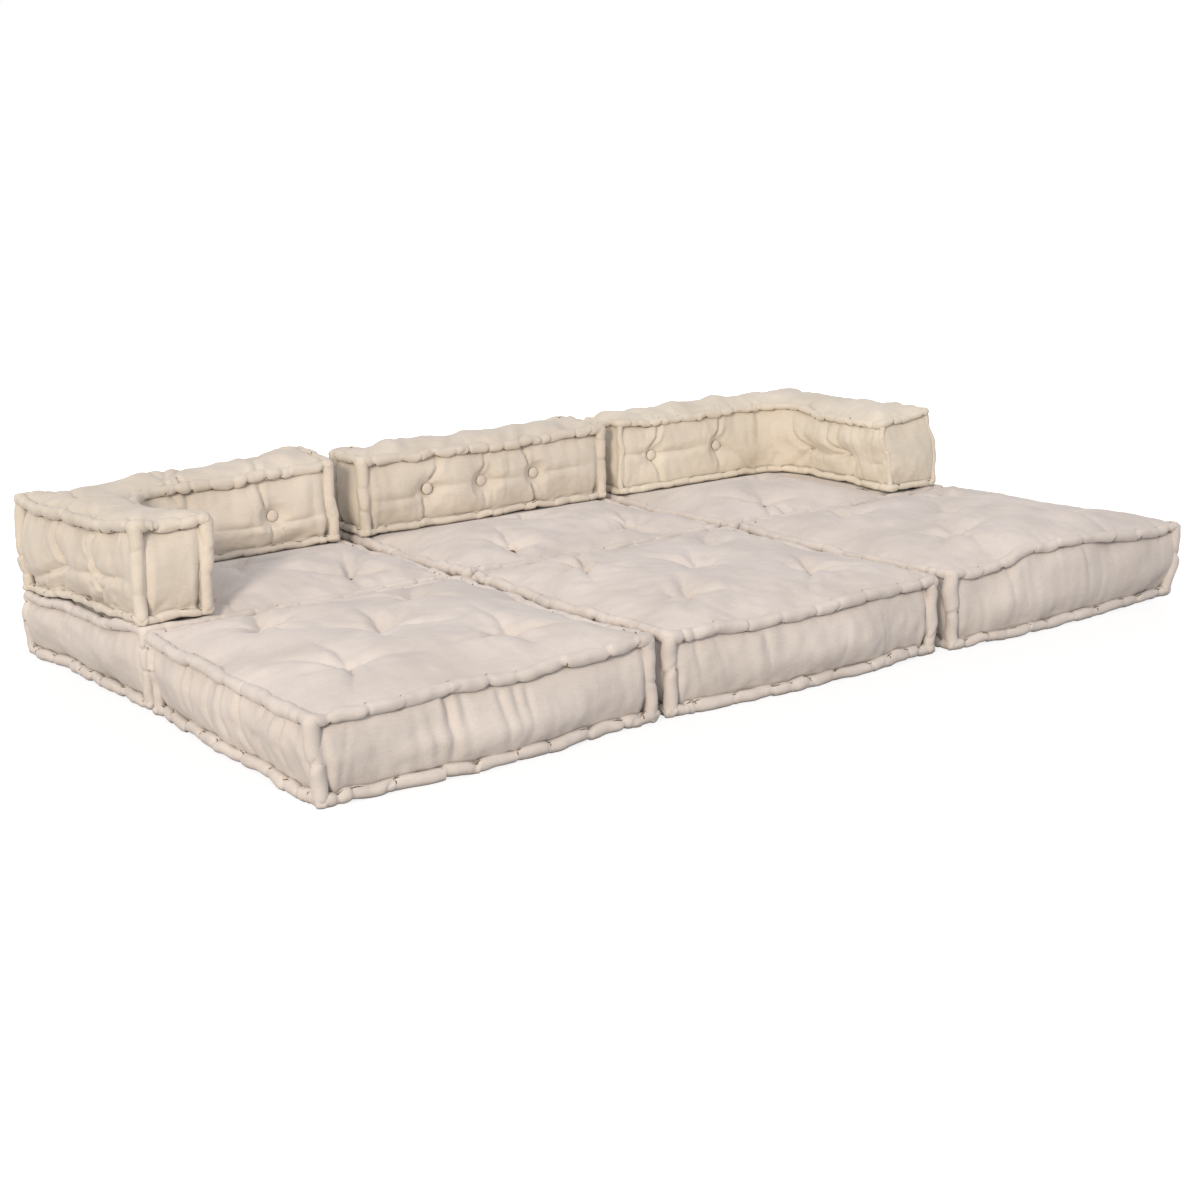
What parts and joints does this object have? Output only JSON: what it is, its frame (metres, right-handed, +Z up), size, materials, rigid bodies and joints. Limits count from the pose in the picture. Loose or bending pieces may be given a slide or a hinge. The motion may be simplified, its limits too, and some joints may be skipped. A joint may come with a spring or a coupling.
{
  "type": "modular sofa",
  "caption": "Low modular floor sofa of loose tufted cushions with rolled hand-stitched edges: seat cushions in a front and a rear row, a straight back and L-shaped corner backs.",
  "frame": {"origin": "on the floor, under the middle of the whole arrangement", "axes": "+X along the long side, to the right as seen from the front; +Y to the rear; +Z up"},
  "size_m": [2.1748, 1.3195, 0.3712],
  "materials": {
    "canvas": "undyed cotton canvas, matt",
    "cotton_flock": "loose cotton flock, hidden inside the covers",
    "twine": "waxed cotton twine"
  },
  "bodies": {
    "front_left_seat": {"front_left_cover": "canvas", "front_left_filling": "cotton_flock", "front_left_top_roll": "canvas", "front_left_bottom_roll": "canvas", "front_left_corner_rolls": "canvas", "front_left_tuft_ties": "twine"},
    "front_centre_seat": {"front_centre_cover": "canvas", "front_centre_filling": "cotton_flock", "front_centre_top_roll": "canvas", "front_centre_bottom_roll": "canvas", "front_centre_corner_rolls": "canvas", "front_centre_tuft_ties": "twine"},
    "front_right_seat": {"front_right_cover": "canvas", "front_right_filling": "cotton_flock", "front_right_top_roll": "canvas", "front_right_bottom_roll": "canvas", "front_right_corner_rolls": "canvas", "front_right_tuft_ties": "twine"},
    "rear_left_seat": {"rear_left_cover": "canvas", "rear_left_filling": "cotton_flock", "rear_left_top_roll": "canvas", "rear_left_bottom_roll": "canvas", "rear_left_corner_rolls": "canvas", "rear_left_tuft_ties": "twine"},
    "rear_centre_seat": {"rear_centre_cover": "canvas", "rear_centre_filling": "cotton_flock", "rear_centre_top_roll": "canvas", "rear_centre_bottom_roll": "canvas", "rear_centre_corner_rolls": "canvas", "rear_centre_tuft_ties": "twine"},
    "rear_right_seat": {"rear_right_cover": "canvas", "rear_right_filling": "cotton_flock", "rear_right_top_roll": "canvas", "rear_right_bottom_roll": "canvas", "rear_right_corner_rolls": "canvas", "rear_right_tuft_ties": "twine"},
    "left_corner_back": {"left_back_cover": "canvas", "left_back_filling": "cotton_flock", "left_back_top_roll": "canvas", "left_back_bottom_roll": "canvas", "left_back_corner_rolls": "canvas", "left_back_tuft_ties": "twine", "left_back_buttons": "canvas"},
    "straight_back": {"centre_back_cover": "canvas", "centre_back_filling": "cotton_flock", "centre_back_top_roll": "canvas", "centre_back_bottom_roll": "canvas", "centre_back_corner_rolls": "canvas", "centre_back_tuft_ties": "twine", "centre_back_buttons": "canvas"},
    "right_corner_back": {"right_back_cover": "canvas", "right_back_filling": "cotton_flock", "right_back_top_roll": "canvas", "right_back_bottom_roll": "canvas", "right_back_corner_rolls": "canvas", "right_back_tuft_ties": "twine", "right_back_buttons": "canvas"}
  },
  "joints": [
    {"name": "rear_left_slide", "type": "slide", "parent": "rear_centre_seat", "child": "rear_left_seat", "axis": [-1, 0, 0], "range_m": [0, 0.3]},
    {"name": "rear_right_slide", "type": "slide", "parent": "rear_centre_seat", "child": "rear_right_seat", "axis": [1, 0, 0], "range_m": [0, 0.3]},
    {"name": "front_centre_slide", "type": "slide", "parent": "rear_centre_seat", "child": "front_centre_seat", "axis": [0, -1, 0], "range_m": [0, 0.3]},
    {"name": "front_left_slide", "type": "slide", "parent": "rear_left_seat", "child": "front_left_seat", "axis": [0, -1, 0], "range_m": [0, 0.3]},
    {"name": "front_right_slide", "type": "slide", "parent": "rear_right_seat", "child": "front_right_seat", "axis": [0, -1, 0], "range_m": [0, 0.3]},
    {"name": "straight_back_lift", "type": "slide", "parent": "rear_centre_seat", "child": "straight_back", "axis": [0, 0, 1], "range_m": [0, 0.25]},
    {"name": "left_corner_lift", "type": "slide", "parent": "rear_left_seat", "child": "left_corner_back", "axis": [0, 0, 1], "range_m": [0, 0.25]},
    {"name": "right_corner_lift", "type": "slide", "parent": "rear_right_seat", "child": "right_corner_back", "axis": [0, 0, 1], "range_m": [0, 0.25]}
  ]
}
